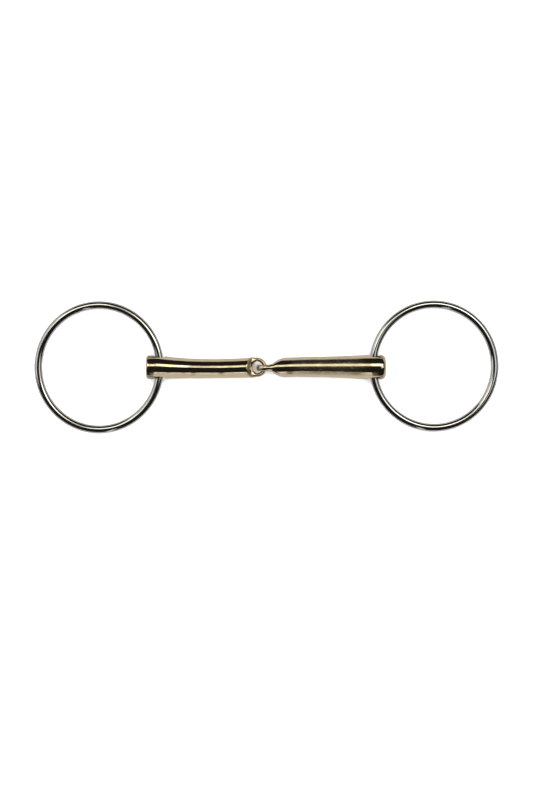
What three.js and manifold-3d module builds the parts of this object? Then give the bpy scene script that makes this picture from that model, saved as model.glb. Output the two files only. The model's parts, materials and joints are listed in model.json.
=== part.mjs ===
// A loose-ring, single-jointed snaffle bit, lying flat as it would on a bench.
//
// Two solid cannons meet in the middle, each ending in a cast eye that is threaded
// through the other. A round-wire ring runs loose through a hole across the outer
// end of each cannon. Millimetres: +X along the mouth, +Y towards the nose, +Z up.
// The origin is on the bench, under the middle of the bit.

import * as THREE from 'three';
import { mergeVertices } from 'three/addons/utils/BufferGeometryUtils.js';
import Module from 'manifold-3d';

// ---- Driving dimensions ----------------------------------------------------

const RING_INNER_DIAMETER = 70; // the trade size of a loose ring
const RING_WIRE_DIAMETER = 4.8;
const RING_HOLE_X = 65.65; // ring hole axis, each side of the middle
const RING_HOLE_DIAMETER = 6.4;

const EYE_OUTER_RADIUS = 6.1;
const EYE_HOLE_RADIUS = 3.5;
const EYE_THICKNESS = 4.3;
const EYE_PITCH = 5.9; // from one eye's centre to the other's

// Each cannon from the centre of its eye outwards. The two castings were fettled
// and polished by hand, so their girths differ a little.
const LEFT_CANNON = {
  eyeX: -EYE_PITCH,
  waistRadius: 5.7,
  shoulderRadius: 6.35,
  bulgeRadius: 7.3,
  endX: 73.75,
};
const RIGHT_CANNON = {
  eyeX: 0,
  waistRadius: 6.0,
  shoulderRadius: 6.3,
  bulgeRadius: 7.6,
  endX: 73.3,
};

// The neck is pared away on both sides of the eye, from a flat tab to full girth.
const NECK_START = 1.6;
const NECK_END = 11;
const NECK_HALF_THICKNESS = 1.7;
const EYE_RELIEF = 0.4; // the neck is bored clear to just inside the loop's crown

const CANNON_SIDES = 36;
const FLANK_STEPS = 20;
const EYE_SIDES = 32;
const HOLE_SIDES = 24;
const RING_STEPS = 60;
const WIRE_SIDES = 12;
const DRILL_LENGTH = 30; // passes right through the thickest part

// ---- Worked-out sizes ------------------------------------------------------

const EYE_HALF_WIDTH = (EYE_OUTER_RADIUS - EYE_HOLE_RADIUS) / 2;
const EYE_RADIUS = EYE_HOLE_RADIUS + EYE_HALF_WIDTH; // along the middle of the loop
const WIRE_RADIUS = RING_WIRE_DIAMETER / 2;
const RING_RADIUS = RING_INNER_DIAMETER / 2 + WIRE_RADIUS;
const AXIS_HEIGHT = girth(RIGHT_CANNON); // the thicker cannon rests on the bench

// The wire bends away from the hole's straight axis, so it is centred on its mean.
const WIRE_SAG = RING_RADIUS - Math.sqrt(RING_RADIUS ** 2 - AXIS_HEIGHT ** 2);
const RING_REACH = RING_RADIUS - WIRE_SAG / 2; // hole axis to ring centre
const RING_TILT = Math.asin((AXIS_HEIGHT - WIRE_RADIUS) / (RING_REACH + RING_RADIUS));

// ---- Finishes --------------------------------------------------------------

const POLISHED_COPPER_ALLOY = { color: 0xcdbb84, roughness: 0.14, metalness: 1 };
const POLISHED_STAINLESS = { color: 0xc4c3c2, roughness: 0.12, metalness: 1 };

// ---- Solids ----------------------------------------------------------------

const wasm = await Module();
wasm.setup();

/** Turns a closed geometry into a solid that can be cut and joined. */
function solidOf(geometry) {
  const bare = geometry.clone();
  bare.deleteAttribute('normal');
  bare.deleteAttribute('uv');
  const merged = mergeVertices(bare, 1e-4);
  return new wasm.Manifold(new wasm.Mesh({
    numProp: 3,
    vertProperties: new Float32Array(merged.attributes.position.array),
    triVerts: new Uint32Array(merged.index.array),
  }));
}

/** Turns a solid back into a geometry. */
function geometryOf(solid) {
  const mesh = solid.getMesh();
  const geometry = new THREE.BufferGeometry();
  geometry.setAttribute('position', new THREE.BufferAttribute(mesh.vertProperties, 3));
  geometry.setIndex(new THREE.BufferAttribute(mesh.triVerts, 1));
  geometry.computeVertexNormals();
  return geometry;
}

/** Spins a profile of (radius, height) points about Z. */
function spun(points, sides) {
  return new THREE.LatheGeometry(points, sides).rotateX(Math.PI / 2);
}

/** Points of an ellipse, closed, starting half a step from its first axis. */
function ellipse(centreX, radiusX, radiusY, sides) {
  const points = [];
  for (let i = 0; i <= sides; i += 1) {
    const angle = ((i % sides) + 0.5) * (2 * Math.PI / sides);
    points.push(new THREE.Vector2(
      centreX + radiusX * Math.cos(angle),
      radiusY * Math.sin(angle),
    ));
  }
  return points;
}

// ---- Cannon: x runs outwards from the eye's centre, the eye's hole is along z ----

/** The cannon's outline as (radius, x): shoulder, waist, bulge and rounded end. */
function cannonOutline(cannon) {
  const hole = RING_HOLE_X - Math.abs(cannon.eyeX);
  const end = cannon.endX - Math.abs(cannon.eyeX);
  const endRounding = new THREE.Vector2(3.4, 2.8); // across, along
  const rim = cannon.bulgeRadius * 0.94;
  const stations = [
    [EYE_OUTER_RADIUS - 0.2, 0.6],
    [cannon.shoulderRadius, 2.6],
    [cannon.waistRadius + 0.3, 8],
    [cannon.waistRadius + 0.02, hole * 0.25],
    [cannon.waistRadius, hole * 0.45],
    [cannon.waistRadius + 0.32, hole * 0.66],
    [cannon.bulgeRadius - 0.72, hole * 0.83],
    [cannon.bulgeRadius, hole * 0.95],
    [cannon.bulgeRadius, hole * 1.01],
    [rim, end - endRounding.y],
  ].map(([radius, x]) => new THREE.Vector2(radius, x));
  const flank = new THREE.SplineCurve(stations).getPoints(FLANK_STEPS);
  const corner = new THREE.EllipseCurve(
    rim - endRounding.x,
    end - endRounding.y,
    endRounding.x,
    endRounding.y,
    0,
    Math.PI / 2,
  ).getPoints(5).slice(1);
  return [
    new THREE.Vector2(0, stations[0].y),
    ...flank,
    ...corner,
    new THREE.Vector2(0, end),
  ];
}

/** The cannon's greatest radius. */
function girth(cannon) {
  return Math.max(...cannonOutline(cannon).map((point) => point.x));
}

/** What is pared off one side of the neck, as a block with a swept lower face. */
function neckCutter() {
  const width = 20;
  const shape = new THREE.Shape();
  shape.moveTo(-1, NECK_HALF_THICKNESS);
  shape.lineTo(NECK_START, NECK_HALF_THICKNESS);
  shape.bezierCurveTo(4.2, NECK_HALF_THICKNESS + 0.2, 5.2, 5.6, NECK_END, 6.5);
  shape.lineTo(NECK_END, 12);
  shape.lineTo(-1, 12);
  shape.closePath();
  return new THREE.ExtrudeGeometry(shape, { depth: width, bevelEnabled: false, curveSegments: 8 })
    .translate(0, 0, -width / 2)
    .rotateX(Math.PI / 2);
}

/** The cast loop at the end of the neck. */
function eyeLoop() {
  return spun(ellipse(EYE_RADIUS, EYE_HALF_WIDTH, EYE_THICKNESS / 2, WIRE_SIDES), EYE_SIDES);
}

/** A round cutter of the given radius along y. */
function drill(radius) {
  return new THREE.CylinderGeometry(radius, radius, DRILL_LENGTH, HOLE_SIDES);
}

/** A cannon with its neck, eye and ring hole; holeTurn turns the ring hole about x. */
function cannonSolid(cannon, holeTurn) {
  const body = solidOf(spun(cannonOutline(cannon), CANNON_SIDES).rotateY(Math.PI / 2));
  const ringHole = drill(RING_HOLE_DIAMETER / 2)
    .translate(RING_HOLE_X - Math.abs(cannon.eyeX), 0, 0)
    .rotateX(holeTurn);
  return body
    .subtract(solidOf(neckCutter()))
    .subtract(solidOf(neckCutter().rotateX(Math.PI)))
    .subtract(solidOf(drill(EYE_RADIUS - EYE_RELIEF).rotateX(Math.PI / 2)))
    .add(solidOf(eyeLoop()))
    .subtract(solidOf(ringHole));
}

// ---- Pieces ----------------------------------------------------------------

/** A named piece with its own material. */
function piece(name, geometry, finish) {
  const mesh = new THREE.Mesh(geometry, new THREE.MeshStandardMaterial(finish));
  mesh.name = name;
  return mesh;
}

/** The left cannon: its eye lies flat and its ring hole runs along Y. */
function leftCannon() {
  const cannon = piece('left_cannon', geometryOf(cannonSolid(LEFT_CANNON, 0)), POLISHED_COPPER_ALLOY);
  cannon.position.set(LEFT_CANNON.eyeX, 0, AXIS_HEIGHT);
  cannon.rotation.z = Math.PI;
  return cannon;
}

/** The right cannon: its eye stands on edge, a quarter turn from the left one's. */
function rightCannon() {
  const solid = cannonSolid(RIGHT_CANNON, Math.PI / 2);
  const cannon = piece('right_cannon', geometryOf(solid), POLISHED_COPPER_ALLOY);
  cannon.position.set(RIGHT_CANNON.eyeX, 0, AXIS_HEIGHT);
  cannon.rotation.x = Math.PI / 2;
  return cannon;
}

/** One ring, hung in its hole and leaning down until its far side is on the bench. */
function ring(name, side) {
  const profile = ellipse(RING_RADIUS, WIRE_RADIUS, WIRE_RADIUS, WIRE_SIDES);
  const geometry = spun(profile, RING_STEPS).rotateZ(Math.PI / RING_STEPS);
  const wire = piece(name, geometry, POLISHED_STAINLESS);
  wire.position.x = side * RING_REACH;
  const swing = new THREE.Group();
  swing.position.set(side * RING_HOLE_X, 0, AXIS_HEIGHT);
  swing.rotation.y = side * RING_TILT;
  swing.add(wire);
  return swing;
}

const snaffleBit = new THREE.Group();
snaffleBit.add(leftCannon());
snaffleBit.add(rightCannon());
snaffleBit.add(ring('left_ring', -1));
snaffleBit.add(ring('right_ring', 1));

export default snaffleBit;
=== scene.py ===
"""Looks for a loose-ring, single-jointed snaffle bit lying flat on a pale floor.

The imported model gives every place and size. Two rings of polished stainless wire run
through the outer ends of two polished copper-alloy cannons, and the cannons are linked
by their cast eyes. Everything is in metres in the model's own frame, except where a
name ends in _mm.
"""

from __future__ import annotations

import json
import logging
import math
from collections.abc import Callable
from dataclasses import dataclass, field
from enum import Enum
from typing import Any

import bpy
import numpy as np
from mathutils import Matrix, Vector


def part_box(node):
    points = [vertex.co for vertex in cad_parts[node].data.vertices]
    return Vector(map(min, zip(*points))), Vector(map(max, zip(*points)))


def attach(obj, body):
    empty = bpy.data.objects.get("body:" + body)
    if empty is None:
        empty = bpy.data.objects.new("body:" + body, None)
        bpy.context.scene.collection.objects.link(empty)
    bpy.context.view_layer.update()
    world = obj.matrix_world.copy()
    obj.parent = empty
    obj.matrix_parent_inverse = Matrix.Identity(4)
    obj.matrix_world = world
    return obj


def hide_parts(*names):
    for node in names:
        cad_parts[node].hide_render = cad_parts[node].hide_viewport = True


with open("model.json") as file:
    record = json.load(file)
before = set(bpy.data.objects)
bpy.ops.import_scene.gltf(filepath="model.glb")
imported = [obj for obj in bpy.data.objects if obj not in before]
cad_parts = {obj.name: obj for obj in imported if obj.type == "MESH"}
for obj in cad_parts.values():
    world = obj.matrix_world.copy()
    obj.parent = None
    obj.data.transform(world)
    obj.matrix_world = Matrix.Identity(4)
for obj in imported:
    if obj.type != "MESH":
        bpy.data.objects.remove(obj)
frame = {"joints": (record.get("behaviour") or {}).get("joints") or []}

LOG = logging.getLogger("snaffle_bit")
MM = 0.001
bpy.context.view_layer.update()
EYE_PITCH_MM = 5.9  # from one eye's centre to the other's
NOISE_LOW = 0.3  # most of a noise's values lie between these two
NOISE_HIGH = 0.7
MIX_FIRST = 6  # the sockets of a Mix node that carry colours, two in and one out
MIX_SECOND = 7
MIX_RESULT = 2

Field = Callable[[np.ndarray], np.ndarray]


# ---------------------------------------------------------------- helpers


def linear(hex_code: str, alpha: float = 1.0) -> tuple[float, float, float, float]:
    """Turns an sRGB hex colour into linear values.

    Args:
        hex_code: six hex digits.
        alpha: opacity to add.

    Returns:
        Red, green, blue and alpha, linear.
    """
    channels = [int(hex_code[i : i + 2], 16) / 255 for i in (0, 2, 4)]
    straight = [c / 12.92 if c <= 0.04045 else ((c + 0.055) / 1.055) ** 2.4 for c in channels]
    return (*straight, alpha)


def add_node(tree: bpy.types.NodeTree, kind: str, inputs: dict | None = None, **settings: Any) -> Any:
    """Adds a node with its settings, values and links.

    Args:
        tree: the tree to add to.
        kind: the node's type name.
        inputs: socket name or index to a value, or to another node's output socket.
        **settings: attributes of the node itself.

    Returns:
        The new node.
    """
    node = tree.nodes.new(kind)
    for name, value in settings.items():
        setattr(node, name, value)
    for key, value in (inputs or {}).items():
        if isinstance(value, bpy.types.NodeSocket):
            tree.links.new(value, node.inputs[key])
        else:
            node.inputs[key].default_value = value
    return node


def new_material(name: str) -> bpy.types.Material:
    """Makes an empty node material.

    Args:
        name: the finish's name.

    Returns:
        The material, without nodes.
    """
    material = bpy.data.materials.new(name)
    material.use_nodes = True
    material.node_tree.nodes.clear()
    return material


def finished(mesh: bpy.types.Mesh, name: str, material: bpy.types.Material | None) -> bpy.types.Object:
    """Wraps a mesh in a smooth-shaded object at the origin.

    Args:
        mesh: the mesh, already in place.
        name: the piece's name.
        material: its finish, or None where the mesh already carries one.

    Returns:
        The linked object.
    """
    mesh.name = name
    if material is not None:
        mesh.materials.clear()
        mesh.materials.append(material)
    mesh.shade_smooth()
    piece = bpy.data.objects.new(name, mesh)
    bpy.context.scene.collection.objects.link(piece)
    return piece


# ---------------------------------------------------------------- finishes


@dataclass(frozen=True)
class PolishedCopperAlloy:
    """Cast copper alloy, ground and mop-polished: a pale gold mirror, faintly wavy.

    It is a touch browner where it has begun to tarnish. The buffing leaves hair-fine
    lines along the cannon, and the last filing leaves faint lines across it.
    """

    name: str = "polished_copper_alloy"
    bright: str = "D6C9AE"
    tarnished: str = "C9B794"
    roughness_low: float = 0.07
    roughness_high: float = 0.16
    tarnish_patch_mm: float = 9.0
    buffing_line_mm: float = 0.25  # finer in life; drawn as coarse as it can show
    buffing_length_mm: float = 12.0
    line_depth_mm: float = 0.0006
    satin_roughness: float = 0.2  # added in the neck, which the mop can't reach
    satin_from_mm: float = 7.5  # distances here are from the eye's middle
    satin_to_mm: float = 9.0
    loop_from_mm: float = 5.4  # the loop itself is bright, rubbed by its partner
    loop_to_mm: float = 6.6
    worked_roughness: float = 0.1  # added where the file and emery were used last
    worked_from_mm: float = 12.0
    worked_to_mm: float = 66.0
    worked_fade_mm: float = 12.0
    worked_patch_mm: float = 5.0
    worked_least: float = 0.8  # share of it left between its patches
    worked_full_at: float = 0.6  # noise value from which it is in full
    cross_line_mm: float = 0.7  # finer in life; drawn as coarse as it can show
    cross_squash: float = 0.08  # width of a line over its length
    cross_depth_mm: float = 0.0012

    def material(self, eye: Vector) -> bpy.types.Material:
        """Builds the node material for one cannon.

        Args:
            eye: middle of the cannon's eye.

        Returns:
            The finish.
        """
        material = new_material(self.name)
        tree = material.node_tree
        place = add_node(tree, "ShaderNodeTexCoord").outputs["Object"]
        from_eye = add_node(tree, "ShaderNodeVectorMath", {0: place, 1: eye}, operation="DISTANCE")
        by_eye = add_node(
            tree,
            "ShaderNodeMapRange",
            {
                "Value": from_eye.outputs["Value"],
                "From Min": self.satin_from_mm * MM,
                "From Max": self.satin_to_mm * MM,
                "To Min": self.satin_roughness,
                "To Max": 0.0,
            },
            interpolation_type="SMOOTHSTEP",
        )
        past_loop = add_node(
            tree,
            "ShaderNodeMapRange",
            {
                "Value": from_eye.outputs["Value"],
                "From Min": self.loop_from_mm * MM,
                "From Max": self.loop_to_mm * MM,
            },
            interpolation_type="SMOOTHSTEP",
        )
        satin = add_node(
            tree,
            "ShaderNodeMath",
            {0: by_eye.outputs[0], 1: past_loop.outputs[0]},
            operation="MULTIPLY",
        )
        patches = add_node(
            tree,
            "ShaderNodeTexNoise",
            {
                "Vector": place,
                "Scale": 1 / (self.tarnish_patch_mm * MM),
                "Detail": 4.0,
                "Roughness": 0.55,
            },
        )
        colour = add_node(
            tree,
            "ShaderNodeMix",
            {
                0: patches.outputs["Fac"],
                MIX_FIRST: linear(self.bright),
                MIX_SECOND: linear(self.tarnished),
            },
            data_type="RGBA",
        )
        stretched = add_node(
            tree,
            "ShaderNodeMapping",
            {"Vector": place, "Scale": (self.buffing_line_mm / self.buffing_length_mm, 1.0, 1.0)},
        )
        lines = add_node(
            tree,
            "ShaderNodeTexNoise",
            {"Vector": stretched.outputs[0], "Scale": 1 / (self.buffing_line_mm * MM), "Detail": 3.0},
        )
        sheen = add_node(
            tree,
            "ShaderNodeMapRange",
            {
                "Value": lines.outputs["Fac"],
                "From Min": NOISE_LOW,
                "From Max": NOISE_HIGH,
                "To Min": self.roughness_low,
                "To Max": self.roughness_high,
            },
        )
        worked = add_node(
            tree,
            "ShaderNodeTexNoise",
            {"Vector": place, "Scale": 1 / (self.worked_patch_mm * MM), "Detail": 1.0},
        )
        worked_start = add_node(
            tree,
            "ShaderNodeMapRange",
            {
                "Value": from_eye.outputs["Value"],
                "From Min": self.worked_from_mm * MM,
                "From Max": (self.worked_from_mm + self.worked_fade_mm) * MM,
            },
            interpolation_type="SMOOTHSTEP",
        )
        worked_end = add_node(
            tree,
            "ShaderNodeMapRange",
            {
                "Value": from_eye.outputs["Value"],
                "From Min": (self.worked_to_mm - self.worked_fade_mm) * MM,
                "From Max": self.worked_to_mm * MM,
                "To Min": 1.0,
                "To Max": 0.0,
            },
            interpolation_type="SMOOTHSTEP",
        )
        worked_zone = add_node(
            tree,
            "ShaderNodeMath",
            {0: worked_start.outputs[0], 1: worked_end.outputs[0]},
            operation="MULTIPLY",
        )
        worked_patchy = add_node(
            tree,
            "ShaderNodeMapRange",
            {
                "Value": worked.outputs["Fac"],
                "From Min": NOISE_LOW,
                "From Max": self.worked_full_at,
                "To Min": self.worked_least,
            },
        )
        worked_mask = add_node(
            tree,
            "ShaderNodeMath",
            {0: worked_zone.outputs[0], 1: worked_patchy.outputs[0]},
            operation="MULTIPLY",
        )
        rougher = add_node(
            tree,
            "ShaderNodeMath",
            {0: worked_mask.outputs[0], 1: self.worked_roughness, 2: sheen.outputs[0]},
            operation="MULTIPLY_ADD",
        )
        roughness = add_node(
            tree, "ShaderNodeMath", {0: rougher.outputs[0], 1: satin.outputs[0]}, operation="ADD"
        )
        squashed = add_node(
            tree,
            "ShaderNodeMapping",
            {"Vector": place, "Scale": (1.0, self.cross_squash, self.cross_squash)},
        )
        cross = add_node(
            tree,
            "ShaderNodeTexNoise",
            {"Vector": squashed.outputs[0], "Scale": 1 / (self.cross_line_mm * MM), "Detail": 2.0},
        )
        cross_depth = add_node(
            tree,
            "ShaderNodeMath",
            {0: cross.outputs["Fac"], 1: worked_mask.outputs[0]},
            operation="MULTIPLY",
        )
        cross_relief = add_node(
            tree,
            "ShaderNodeBump",
            {
                "Height": cross_depth.outputs[0],
                "Distance": self.cross_depth_mm * MM,
                "Strength": 1.0,
            },
        )
        relief = add_node(
            tree,
            "ShaderNodeBump",
            {
                "Height": lines.outputs["Fac"],
                "Distance": self.line_depth_mm * MM,
                "Strength": 1.0,
                "Normal": cross_relief.outputs[0],
            },
        )
        metal = add_node(
            tree,
            "ShaderNodeBsdfPrincipled",
            {
                "Base Color": colour.outputs[MIX_RESULT],
                "Metallic": 1.0,
                "Roughness": roughness.outputs[0],
                "Normal": relief.outputs[0],
            },
        )
        add_node(tree, "ShaderNodeOutputMaterial", {"Surface": metal.outputs[0]})
        return material


@dataclass(frozen=True)
class PolishedStainlessWire:
    """Drawn stainless wire, bent, welded and polished: a neutral mirror.

    Drawing leaves fine lines that follow the wire round the ring. Its tone and sheen vary a little in
    faint patches.
    """

    name: str = "polished_stainless_wire"
    bright: str = "C8C7C5"
    dulled: str = "B4B1AD"
    roughness_low: float = 0.06
    roughness_high: float = 0.14
    drawing_line_mm: float = 0.3  # finer in life; drawn as coarse as it can show
    line_depth_mm: float = 0.0006
    patch_mm: float = 7.0

    def material(self, centre: Vector, tilt: float) -> bpy.types.Material:
        """Builds the node material for one ring.

        Args:
            centre: the ring's centre.
            tilt: the ring's turn about Y, in radians.

        Returns:
            The finish.
        """
        material = new_material(self.name)
        tree = material.node_tree
        place = add_node(tree, "ShaderNodeTexCoord").outputs["Object"]
        centred = add_node(
            tree,
            "ShaderNodeMapping",
            {"Vector": place, "Location": centre, "Rotation": (0.0, tilt, 0.0)},
            vector_type="TEXTURE",
        )
        split = add_node(tree, "ShaderNodeSeparateXYZ", {0: centred.outputs[0]})
        flat = add_node(
            tree, "ShaderNodeCombineXYZ", {"X": split.outputs["X"], "Y": split.outputs["Y"]}
        )
        reach = add_node(tree, "ShaderNodeVectorMath", {0: flat.outputs[0]}, operation="LENGTH")
        along = add_node(
            tree,
            "ShaderNodeCombineXYZ",
            {"X": reach.outputs["Value"], "Z": split.outputs["Z"]},
        )
        lines = add_node(
            tree,
            "ShaderNodeTexNoise",
            {"Vector": along.outputs[0], "Scale": 1 / (self.drawing_line_mm * MM), "Detail": 2.0},
        )
        patches = add_node(
            tree,
            "ShaderNodeTexNoise",
            {"Vector": place, "Scale": 1 / (self.patch_mm * MM), "Detail": 3.0},
        )
        colour = add_node(
            tree,
            "ShaderNodeMix",
            {
                0: patches.outputs["Fac"],
                MIX_FIRST: linear(self.bright),
                MIX_SECOND: linear(self.dulled),
            },
            data_type="RGBA",
        )
        sheen = add_node(
            tree,
            "ShaderNodeMapRange",
            {
                "Value": patches.outputs["Fac"],
                "From Min": NOISE_LOW,
                "From Max": NOISE_HIGH,
                "To Min": self.roughness_low,
                "To Max": self.roughness_high,
            },
        )
        relief = add_node(
            tree,
            "ShaderNodeBump",
            {"Height": lines.outputs["Fac"], "Distance": self.line_depth_mm * MM, "Strength": 1.0},
        )
        metal = add_node(
            tree,
            "ShaderNodeBsdfPrincipled",
            {
                "Base Color": colour.outputs[MIX_RESULT],
                "Metallic": 1.0,
                "Roughness": sheen.outputs[0],
                "Normal": relief.outputs[0],
            },
        )
        add_node(tree, "ShaderNodeOutputMaterial", {"Surface": metal.outputs[0]})
        return material


@dataclass(frozen=True)
class PaleFloor:
    """Matt white paper on the studio table, greyer where the metal mirrors it; that grey is a painted
    shade, given to every ray but the camera's.
    """

    name: str = "matt_white_paper"
    seen: str = "F7F7F7"
    # painted shade: the grey that every ray but the camera's sees in place of the white paper
    mirrored: str = "A3A0A3"
    roughness: float = 0.9

    def material(self) -> bpy.types.Material:
        """Builds the floor's node material.

        Returns:
            The finish.
        """
        material = new_material(self.name)
        tree = material.node_tree
        # the camera sees the white paper; every other ray, the metal's mirroring included, sees the
        # painted shade
        direct = add_node(tree, "ShaderNodeLightPath").outputs["Is Camera Ray"]
        colour = add_node(
            tree,
            "ShaderNodeMix",
            {
                0: direct,
                MIX_FIRST: linear(self.mirrored),
                MIX_SECOND: linear(self.seen),
            },
            data_type="RGBA",
        )
        paper = add_node(
            tree,
            "ShaderNodeBsdfPrincipled",
            {
                "Base Color": colour.outputs[MIX_RESULT],
                "Roughness": self.roughness,
                "Specular IOR Level": 0.0,
            },
        )
        add_node(tree, "ShaderNodeOutputMaterial", {"Surface": paper.outputs[0]})
        return material


# ---------------------------------------------------------------- smooth solids


def soft_max(a: np.ndarray, b: np.ndarray, blend: float) -> np.ndarray:
    """The larger of two fields, with the crease between them rounded.

    Args:
        a: one field.
        b: the other field.
        blend: width of the rounding.

    Returns:
        The joined field.
    """
    near = np.maximum(blend - np.abs(a - b), 0.0) / blend
    return np.maximum(a, b) + near * near * blend * 0.25


def soft_min(a: np.ndarray, b: np.ndarray, blend: float) -> np.ndarray:
    """The smaller of two fields, with the crease between them rounded."""
    return -soft_max(-a, -b, blend)


@dataclass
class SkinMesher:
    """Lays an even mesh of quads over the surface where a field is zero."""

    cell_mm: float = 0.25
    rounds: int = 4
    drops: int = 3
    reach_mm: float = 0.02  # half the span over which the field's slope is taken

    def cover(self, solid: Field, low: np.ndarray, high: np.ndarray) -> tuple[np.ndarray, np.ndarray]:
        """Meshes a solid.

        Args:
            solid: the field, negative inside, in mm.
            low: lowest corner of the space to search.
            high: highest corner of the space to search.

        Returns:
            Vertices (n, 3) and quads (m, 4) that face outwards.
        """
        axes = [np.arange(a, b + self.cell_mm, self.cell_mm) for a, b in zip(low, high)]
        grid = np.stack(np.meshgrid(*axes, indexing="ij"), axis=-1)
        inside = solid(grid.reshape(-1, 3)).reshape(grid.shape[:3]) < 0
        shape = tuple(n - 1 for n in inside.shape)
        corners = sum(
            inside[i : i + shape[0], j : j + shape[1], k : k + shape[2]].astype(np.int8)
            for i in (0, 1)
            for j in (0, 1)
            for k in (0, 1)
        )
        crossed = (corners > 0) & (corners < 8)
        number = np.full(shape, -1)
        number[crossed] = np.arange(crossed.sum())
        cells = np.argwhere(crossed)
        points = np.array([a[0] for a in axes]) + (cells + 0.5) * self.cell_mm
        quads = np.concatenate([self._quads(inside, number, axis) for axis in range(3)])
        for _ in range(self.rounds):
            points = self._onto(solid, self._evened(points, quads))
        return self._onto(solid, points), quads

    def _quads(self, inside: np.ndarray, number: np.ndarray, axis: int) -> np.ndarray:
        """Joins the four cells round each crossed grid edge along one axis.

        Args:
            inside: whether each grid point is inside the solid.
            number: each cell's vertex number, or -1.
            axis: the axis the edges run along.

        Returns:
            Quads (n, 4) that face outwards.
        """
        b, c = (axis + 1) % 3, (axis + 2) % 3
        turned = np.moveaxis(inside, (axis, b, c), (0, 1, 2))
        cells = np.moveaxis(number, (axis, b, c), (0, 1, 2))
        here = turned[:-1, 1:-1, 1:-1]
        ahead = turned[1:, 1:-1, 1:-1]
        rows = []
        for leaving in (True, False):
            i, j, k = np.nonzero((here & ~ahead) if leaving else (~here & ahead))
            loop = [cells[i, j, k], cells[i, j + 1, k], cells[i, j + 1, k + 1], cells[i, j, k + 1]]
            rows.append(np.stack(loop if leaving else loop[::-1], axis=1))
        return np.concatenate(rows)

    def _evened(self, points: np.ndarray, quads: np.ndarray) -> np.ndarray:
        """Moves each vertex half way to the mean of its neighbours.

        Args:
            points: the vertices.
            quads: the quads between them.

        Returns:
            The moved vertices.
        """
        total = np.zeros_like(points)
        count = np.zeros(len(points))
        for step in (1, 3):
            near = np.roll(quads, step, axis=1)
            np.add.at(total, quads.ravel(), points[near.ravel()])
            np.add.at(count, quads.ravel(), 1)
        return 0.5 * points + 0.5 * total / count[:, None]

    def _onto(self, solid: Field, points: np.ndarray) -> np.ndarray:
        """Drops each vertex onto the surface along the field's slope.

        Args:
            solid: the field.
            points: vertices near its surface.

        Returns:
            The vertices, on the surface.
        """
        for _ in range(self.drops):
            value = solid(points)
            slope = np.stack(
                [
                    (solid(points + step) - solid(points - step)) / (2 * self.reach_mm)
                    for step in np.eye(3) * self.reach_mm
                ],
                axis=1,
            )
            steep = np.maximum((slope**2).sum(axis=1), 1e-6)
            move = -slope * (value / steep)[:, None]
            length = np.maximum(np.linalg.norm(move, axis=1), 1e-9)
            points = points + move * np.minimum(1.0, self.cell_mm / length)[:, None]
        return points


# ---------------------------------------------------------------- pieces


class EyeLies(Enum):
    """How a cannon's eye stands when the bit lies flat."""

    FLAT = "flat"
    ON_EDGE = "on edge"


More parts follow.
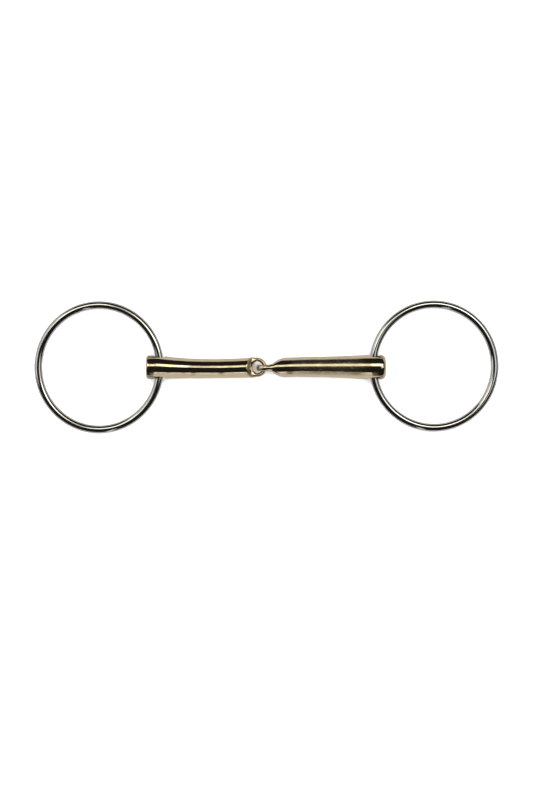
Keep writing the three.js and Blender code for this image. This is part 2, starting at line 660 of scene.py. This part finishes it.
@dataclass
class Cannon:
    """One half of the mouthpiece: a trumpet-shaped bar with an eye and a ring hole.

    The shape is worked out in its own frame, in mm: x runs outwards from the middle of
    the eye and the eye's hole runs along z.
    """

    name: str
    eye: Vector
    eye_lies: EyeLies
    hole_mm: float
    end_mm: float
    waist_mm: float
    taper: float
    shoulder_mm: float
    trumpet_mm: float
    trumpet_length_mm: float
    bulge_mm: float
    end_power: float
    neck_start_mm: float
    neck_slope: float
    neck_blend_mm: float
    eye_bore_mm: float
    ripple_phase: float
    bow_mm: float
    finish: PolishedCopperAlloy
    sag_mm: float = 0.0  # how far the eye hangs off the cannon's line
    bore_shift_mm: float = 0.0  # how far the neck is bored clear off the eye's middle
    neck_vee: float = 0.0  # how far the neck's pared faces lean, per mm off the axis
    mesher: SkinMesher = field(default_factory=SkinMesher)
    end_rounding_mm: float = 1.0
    shoulder_length_mm: float = 6.0
    neck_half_mm: float = 2.0
    neck_foot_mm: float = 0.9
    sag_length_mm: float = 13.0
    eye_outer_mm: float = 6.1
    eye_hole_mm: float = 3.5
    eye_half_thickness_mm: float = 2.15
    ring_hole_mm: float = 3.2
    ripple_mm: float = 0.028  # left by hand polishing
    ripple_long_mm: float = 2.4
    ripple_short_mm: float = 1.45
    end_blend_mm: float = 0.8  # how widely each crease is rounded
    root_blend_mm: float = 2.0
    bore_blend_mm: float = 0.6
    loop_blend_mm: float = 1.1
    hole_blend_mm: float = 1.3
    root_mm: float = 1.2  # the bar stops here, short of the eye's middle
    margin_mm: float = 1.0

    def build(self) -> bpy.types.Object:
        """Makes the cannon and hands it its place in the model.

        Returns:
            The finished piece.
        """
        width = self.bulge_mm + self.margin_mm
        low = np.array([-self.eye_outer_mm - self.margin_mm, -width, -width])
        high = np.array([self.end_mm + self.margin_mm, width, width])
        points, quads = self.mesher.cover(self.solid, low, high)
        mesh = bpy.data.meshes.new(self.name)
        mesh.from_pydata((self._placed(points) * MM).tolist(), [], quads.tolist())
        mesh.update()
        piece = finished(mesh, f"{self.name}_casting", self.finish.material(self.eye))
        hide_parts(self.name)
        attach(piece, self.name)
        return piece

    def _placed(self, points: np.ndarray) -> np.ndarray:
        """Turns the cannon's own frame into the model's.

        Args:
            points: places in the cannon's own frame, (n, 3), in mm.

        Returns:
            The same places in the model's frame, in mm.
        """
        x, y, z = points.T
        if self.eye_lies is EyeLies.FLAT:
            turned = np.stack([-x, -y, z], axis=1)
        else:
            turned = np.stack([x, -z, y], axis=1)
        return turned + np.array(self.eye) / MM

    def solid(self, points: np.ndarray) -> np.ndarray:
        """The cannon as a field, negative inside.

        Args:
            points: places in the cannon's own frame, (n, 3).

        Returns:
            Roughly the distance to the surface, in mm.
        """
        x, y, z = self._unbowed(points)
        cut = self._neck(x + self.neck_vee * np.abs(y), np.abs(z))
        bar = soft_max(self._bar(x, np.hypot(y, z)), cut, self.neck_blend_mm)
        bar = soft_max(bar, self.root_mm - x, self.root_blend_mm)
        bore = np.hypot(x + self.bore_shift_mm, y)
        bar = soft_max(bar, self.eye_bore_mm - bore, self.bore_blend_mm)
        shape = soft_min(bar, self._loop(np.hypot(x, y), z), self.loop_blend_mm)
        away = np.hypot(x - self.hole_mm, z if self.eye_lies is EyeLies.FLAT else y)
        return soft_max(shape, self.ring_hole_mm - away, self.hole_blend_mm)

    def _unbowed(self, points: np.ndarray) -> np.ndarray:
        """Straightens the slight bow along the cannon and the sag of its eye.

        Both lie in the plane of the floor.

        Args:
            points: places in the cannon's own frame, (n, 3).

        Returns:
            x, y and z, (3, n), as if the cannon were straight.
        """
        x, y, z = points.T
        along = np.clip(x / self.hole_mm, 0.0, 1.0)
        bow = self.bow_mm * 4 * along * (1 - along)
        bow = bow + self.sag_mm * np.exp(-((np.maximum(x, 0.0) / self.sag_length_mm) ** 2))
        if self.eye_lies is EyeLies.FLAT:
            return np.stack([x, y - bow, z])
        return np.stack([x, y, z - bow])

    def _bar(self, x: np.ndarray, out: np.ndarray) -> np.ndarray:
        """The turned body: shoulder, waist, trumpet and rounded end.

        Args:
            x: distance along the cannon.
            out: distance from its axis.

        Returns:
            The body's field.
        """
        trumpet = self.trumpet_mm * np.exp((x - self.hole_mm) / self.trumpet_length_mm)
        shoulder = self.shoulder_mm * np.exp(-x / self.shoulder_length_mm)
        ripple = self.ripple_mm * (
            np.sin(x / self.ripple_long_mm + self.ripple_phase)
            + np.sin(x / self.ripple_short_mm + 2 * self.ripple_phase) / 2
        )
        flank = out - (self.waist_mm + self.taper * x + trumpet + shoulder + ripple)
        start = self.hole_mm + self.end_rounding_mm
        ahead = np.clip((x - start) / (self.end_mm - start), 0.0, None)
        rounded = (ahead**self.end_power + (out / self.bulge_mm) ** self.end_power) ** (
            1 / self.end_power
        )
        return soft_max(flank, (rounded - 1.0) * self.bulge_mm, self.end_blend_mm)

    def _neck(self, x: np.ndarray, up: np.ndarray) -> np.ndarray:
        """What is left after the neck is pared away on both sides of the eye.

        Args:
            x: distance along the cannon.
            up: distance from the plane of the eye.

        Returns:
            The field of what is left.
        """
        ahead = x - self.neck_start_mm
        root = np.sqrt(ahead**2 + self.neck_foot_mm**2)
        height = self.neck_half_mm + self.neck_slope * (ahead + root) / 2
        slope = self.neck_slope * (1 + ahead / root) / 2
        return (up - height) / np.sqrt(1 + slope**2)

    def _loop(self, across: np.ndarray, z: np.ndarray) -> np.ndarray:
        """The eye's loop, an oval section swept round its hole.

        Args:
            across: distance from the axis of the eye's hole.
            z: distance from the plane of the eye.

        Returns:
            The loop's field.
        """
        middle = (self.eye_outer_mm + self.eye_hole_mm) / 2
        half_width = (self.eye_outer_mm - self.eye_hole_mm) / 2
        p = (across - middle) / half_width
        q = z / self.eye_half_thickness_mm
        oval = np.sqrt(p * p + q * q)
        slope = np.hypot(p / half_width, q / self.eye_half_thickness_mm) / np.maximum(oval, 1e-6)
        return (oval - 1.0) / np.maximum(slope, 1e-3)


@dataclass
class Ring:
    """A loose ring of round wire, hung in its cannon and leaning down to the floor."""

    name: str
    hinge: Vector
    finish: PolishedStainlessWire
    tall: float
    slid_mm: float
    grown_mm: float = 0.15  # a hand-bent ring is never quite to size
    wire_mm: float = 4.8
    inner_mm: float = 70.0
    steps: int = 320
    sides: int = 48
    weld_at: float = 0.31  # share of the way round, from the side away from the mouth
    weld_swell: float = 0.012
    weld_width: float = 0.008  # share of the way round
    weld_fade: float = 0.37  # what is left of the swell one width away

    def build(self) -> bpy.types.Object:
        """Makes the ring and hands it its place in the model.

        Returns:
            The finished piece.
        """
        low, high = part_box(self.name)
        centre = (low + high) / 2
        drop = self.hinge - centre
        tilt = math.atan2(drop.z, drop.x) if drop.x > 0 else -math.atan2(drop.z, -drop.x)
        holder = bpy.data.objects.new(f"{self.name}_path", bpy.data.meshes.new("path"))
        bpy.context.scene.collection.objects.link(holder)
        tree = self._tree()
        modifier = holder.modifiers.new("Wire ring", "NODES")
        modifier.node_group = tree
        centre.y += self.slid_mm * MM
        centre.x += math.copysign(self.grown_mm, centre.x) * MM
        values = {
            "Centre": centre,
            "Tall": self.tall,
            "Tilt": -tilt,
            "Ring radius": ((self.inner_mm + self.wire_mm) / 2 + self.grown_mm) * MM,
            "Wire radius": self.wire_mm / 2 * MM,
            "Weld at": self.weld_at,
            "Weld swell": self.weld_swell,
            "Material": self.finish.material(centre, -tilt),
        }
        for item in tree.interface.items_tree:
            if item.item_type == "SOCKET" and item.name in values:
                modifier[item.identifier] = values[item.name]
        bpy.context.view_layer.update()
        graph = bpy.context.evaluated_depsgraph_get()
        mesh = bpy.data.meshes.new_from_object(holder.evaluated_get(graph), depsgraph=graph)
        holder.modifiers.remove(modifier)
        bpy.data.objects.remove(holder)
        piece = finished(mesh, f"{self.name}_wire", None)
        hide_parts(self.name)
        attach(piece, self.name)
        return piece

    def _tree(self) -> bpy.types.NodeTree:
        """Builds the Geometry Nodes that sweep round wire along the ring.

        Returns:
            The node tree, with its sizes as named inputs.
        """
        tree = bpy.data.node_groups.new("wire_ring", "GeometryNodeTree")
        for name, kind in (
            ("Centre", "NodeSocketVector"),
            ("Tilt", "NodeSocketFloat"),
            ("Ring radius", "NodeSocketFloat"),
            ("Tall", "NodeSocketFloat"),
            ("Wire radius", "NodeSocketFloat"),
            ("Weld at", "NodeSocketFloat"),
            ("Weld swell", "NodeSocketFloat"),
            ("Material", "NodeSocketMaterial"),
        ):
            tree.interface.new_socket(name, in_out="INPUT", socket_type=kind)
        tree.interface.new_socket("Wire", in_out="OUTPUT", socket_type="NodeSocketGeometry")
        given = add_node(tree, "NodeGroupInput").outputs
        path = add_node(
            tree,
            "GeometryNodeCurvePrimitiveCircle",
            {"Resolution": self.steps, "Radius": given["Ring radius"]},
            mode="RADIUS",
        )
        section = add_node(
            tree,
            "GeometryNodeCurvePrimitiveCircle",
            {"Resolution": self.sides, "Radius": given["Wire radius"]},
            mode="RADIUS",
        )
        way_round = add_node(tree, "GeometryNodeSplineParameter").outputs["Factor"]
        off = add_node(
            tree, "ShaderNodeMath", {0: way_round, 1: given["Weld at"]}, operation="SUBTRACT"
        )
        near = add_node(
            tree, "ShaderNodeMath", {0: off.outputs[0], 1: self.weld_width}, operation="DIVIDE"
        )
        square = add_node(
            tree, "ShaderNodeMath", {0: near.outputs[0], 1: near.outputs[0]}, operation="MULTIPLY"
        )
        fade = add_node(
            tree, "ShaderNodeMath", {0: self.weld_fade, 1: square.outputs[0]}, operation="POWER"
        )
        swell = add_node(
            tree,
            "ShaderNodeMath",
            {0: fade.outputs[0], 1: given["Weld swell"], 2: 1.0},
            operation="MULTIPLY_ADD",
        )
        stretch = add_node(
            tree, "ShaderNodeCombineXYZ", {"X": 1.0, "Y": given["Tall"], "Z": 1.0}
        )
        oval = add_node(
            tree,
            "GeometryNodeTransform",
            {"Geometry": path.outputs["Curve"], "Scale": stretch.outputs[0]},
        )
        girth = add_node(
            tree,
            "GeometryNodeSetCurveRadius",
            {"Curve": oval.outputs[0], "Radius": swell.outputs[0]},
        )
        sweep = add_node(
            tree,
            "GeometryNodeCurveToMesh",
            {"Curve": girth.outputs[0], "Profile Curve": section.outputs["Curve"]},
        )
        if "Scale" in sweep.inputs:
            radius = add_node(tree, "GeometryNodeInputRadius")
            tree.links.new(radius.outputs[0], sweep.inputs["Scale"])
        turn = add_node(tree, "ShaderNodeCombineXYZ", {"Y": given["Tilt"]})
        place = add_node(
            tree,
            "GeometryNodeTransform",
            {"Geometry": sweep.outputs[0], "Translation": given["Centre"], "Rotation": turn.outputs[0]},
        )
        real = add_node(tree, "GeometryNodeRealizeInstances", {"Geometry": place.outputs[0]})
        dressed = add_node(
            tree,
            "GeometryNodeSetMaterial",
            {"Geometry": real.outputs[0], "Material": given["Material"]},
        )
        add_node(tree, "NodeGroupOutput", {"Wire": dressed.outputs[0]})
        return tree


# ---------------------------------------------------------------- studio


class Faces(Enum):
    """Which way a light is turned."""

    DOWN = "down"
    BIT = "towards the bit"


@dataclass(frozen=True)
class Panel:
    """A soft rectangular light, given by its brightness rather than its power."""

    name: str
    centre: tuple[float, float, float]
    width: float
    height: float
    radiance: float
    faces: Faces = Faces.BIT
    tint: str = "FFFFFF"
    mirrored: bool = True

    def build(self) -> bpy.types.Object:
        """Adds the light.

        Returns:
            The light object.
        """
        up = Vector((0, 0, 1))
        away = up if self.faces is Faces.DOWN else Vector(self.centre).normalized()
        across = Vector((1, 0, 0)) if self.faces is Faces.DOWN else up.cross(away).normalized()
        light = bpy.data.lights.new(self.name, "AREA")
        light.shape = "RECTANGLE"
        light.size, light.size_y = self.width, self.height
        light.color = linear(self.tint)[:3]
        light.energy = self.radiance * math.pi * self.width * self.height
        lamp = bpy.data.objects.new(self.name, light)
        bpy.context.scene.collection.objects.link(lamp)
        turn = Matrix((across, away.cross(across), away)).transposed().to_4x4()
        lamp.matrix_world = Matrix.Translation(self.centre) @ turn
        lamp.visible_camera = False
        lamp.visible_glossy = self.mirrored
        return lamp


CREAM = "FEFDEC"


@dataclass
class Studio:
    """The pale floor, the dim room, the soft lights and the overhead camera.

    The key is one long softbox with two dimmer strips near its middle. Its panels stand
    edge to edge, because lights that overlap hide one another.
    """

    camera_height: float = 2.0
    focus_height: float = 0.006
    frame_height: float = 0.4906
    frame_centre_y: float = -0.0201
    floor_half: float = 3.0
    sensor_width_mm: float = 36.0
    room_glow: float = 0.018
    panels: tuple[Panel, ...] = (
        Panel("overhead_fill", (0.0, 0.0, 2.3), 3.6, 3.6, 3.9, Faces.DOWN, mirrored=False),
        Panel("key_far_left", (-0.84, 0.76, 2.0), 0.98, 0.85, 2.8, Faces.DOWN, CREAM),
        Panel("key_left", (-0.265, 0.72, 2.0), 0.17, 0.75, 0.8, Faces.DOWN, CREAM),
        Panel("key_inner_left", (-0.115, 0.72, 2.0), 0.13, 0.75, 2.1, Faces.DOWN, CREAM),
        Panel("key_middle", (0.0, 0.76, 2.0), 0.1, 0.8, 0.75, Faces.DOWN, CREAM),
        Panel("key_right", (0.725, 0.8, 2.0), 1.35, 0.85, 3.0, Faces.DOWN, CREAM),
        Panel("right_softbox", (1.1, 0.3, 1.5), 1.1, 1.2, 1.2),
        Panel("left_softbox", (-1.65, 0.6, 0.95), 1.9, 1.3, 1.1),
        Panel("front_reflector", (-0.01, -1.94, 0.5), 0.21, 1.03, 0.85),
        Panel("front_reflector_top", (-0.01, -1.65, 1.1), 0.14, 0.25, 2.0),
    )

    def build(self) -> None:
        """Sets up the floor, the room, the lights and the camera."""
        self._floor()
        self._room()
        for panel in self.panels:
            panel.build()
        self._camera()
        bpy.context.scene.view_settings.view_transform = "Standard"

    def _floor(self) -> None:
        """Lays a plain pale floor under the bit."""
        half = self.floor_half
        corners = [(-half, -half, 0), (half, -half, 0), (half, half, 0), (-half, half, 0)]
        mesh = bpy.data.meshes.new("floor")
        mesh.from_pydata(corners, [], [(0, 1, 2, 3)])
        mesh.materials.append(PaleFloor().material())
        floor = bpy.data.objects.new("floor", mesh)
        bpy.context.scene.collection.objects.link(floor)

    def _room(self) -> None:
        """Makes the room dim to the metal and pale to the eye."""
        world = bpy.data.worlds.new("studio")
        bpy.context.scene.world = world
        world.use_nodes = True
        tree = world.node_tree
        tree.nodes.clear()
        dim = add_node(tree, "ShaderNodeBackground", {"Strength": self.room_glow})
        pale = add_node(tree, "ShaderNodeBackground", {"Color": linear("FFFFFF"), "Strength": 1.0})
        seen = add_node(tree, "ShaderNodeLightPath").outputs["Is Camera Ray"]
        mix = add_node(
            tree, "ShaderNodeMixShader", {0: seen, 1: dim.outputs[0], 2: pale.outputs[0]}
        )
        add_node(tree, "ShaderNodeOutputWorld", {"Surface": mix.outputs[0]})

    def _camera(self) -> None:
        """Hangs the camera straight above, framed as a product picture."""
        lens = bpy.data.cameras.new("camera")
        lens.sensor_width = self.sensor_width_mm
        lens.lens = lens.sensor_width * self.camera_height / self.frame_height
        lens.dof.use_dof = False
        camera = bpy.data.objects.new("camera", lens)
        bpy.context.scene.collection.objects.link(camera)
        camera.location = (0.0, self.frame_centre_y, self.camera_height + self.focus_height)
        bpy.context.scene.camera = camera


def hinge_of(name: str) -> Vector:
    """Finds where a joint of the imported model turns."""
    return Vector(next(j["pos_m"] for j in frame["joints"] if j["name"] == name))


def main() -> None:
    """Builds the bit and its studio and reports each piece."""
    logging.basicConfig(level=logging.INFO, format="%(name)s: %(message)s")
    satin_neck = PolishedCopperAlloy(satin_roughness=0.35, worked_roughness=0.0, cross_depth_mm=0.0)
    bright_neck = PolishedCopperAlloy(satin_roughness=0.04, worked_roughness=0.12)
    wire = PolishedStainlessWire()
    left_hinge = hinge_of("left_ring_swing")
    right_hinge = hinge_of("right_ring_swing")
    left_eye = hinge_of("mouth_fold")
    right_eye = left_eye + Vector((EYE_PITCH_MM * MM, 0, 0))
    left_end = -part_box("left_cannon")[0].x
    right_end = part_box("right_cannon")[1].x
    pieces = [
        Cannon(
            name="left_cannon",
            eye=left_eye,
            eye_lies=EyeLies.FLAT,
            hole_mm=(left_eye.x - left_hinge.x) / MM,
            end_mm=(left_end + left_eye.x) / MM,
            waist_mm=5.75,
            taper=0.0,
            shoulder_mm=0.62,
            shoulder_length_mm=10.0,
            trumpet_mm=1.7,
            trumpet_length_mm=12.0,
            bulge_mm=7.3,
            end_power=12.0,
            neck_start_mm=4.2,
            neck_slope=2.0,
            neck_vee=0.15,
            neck_blend_mm=0.5,
            eye_bore_mm=3.7,
            bore_shift_mm=0.9,
            ripple_phase=0.4,
            bow_mm=0.85,
            finish=satin_neck,
        ),
        Cannon(
            name="right_cannon",
            eye=right_eye,
            eye_lies=EyeLies.ON_EDGE,
            hole_mm=(right_hinge.x - right_eye.x) / MM,
            end_mm=(right_end - right_eye.x) / MM,
            waist_mm=5.8,
            taper=0.014,
            shoulder_mm=0.4,
            trumpet_mm=1.8,
            trumpet_length_mm=11.0,
            bulge_mm=7.6,
            end_power=4.4,
            neck_start_mm=2.6,
            neck_slope=0.76,
            neck_blend_mm=2.2,
            eye_bore_mm=4.4,
            ripple_phase=2.9,
            bow_mm=-0.15,
            sag_mm=0.5,
            neck_half_mm=1.8,
            eye_half_thickness_mm=1.9,
            finish=bright_neck,
        ),
        Ring(name="left_ring", hinge=left_hinge, finish=wire, tall=1.016, slid_mm=0.0),
        Ring(name="right_ring", hinge=right_hinge, finish=wire, tall=1.008, slid_mm=0.8),
    ]
    for part in pieces:
        piece = part.build()
        LOG.info("%s: %d faces", piece.name, len(piece.data.polygons))
    Studio().build()


if __name__ == "__main__":
    main()
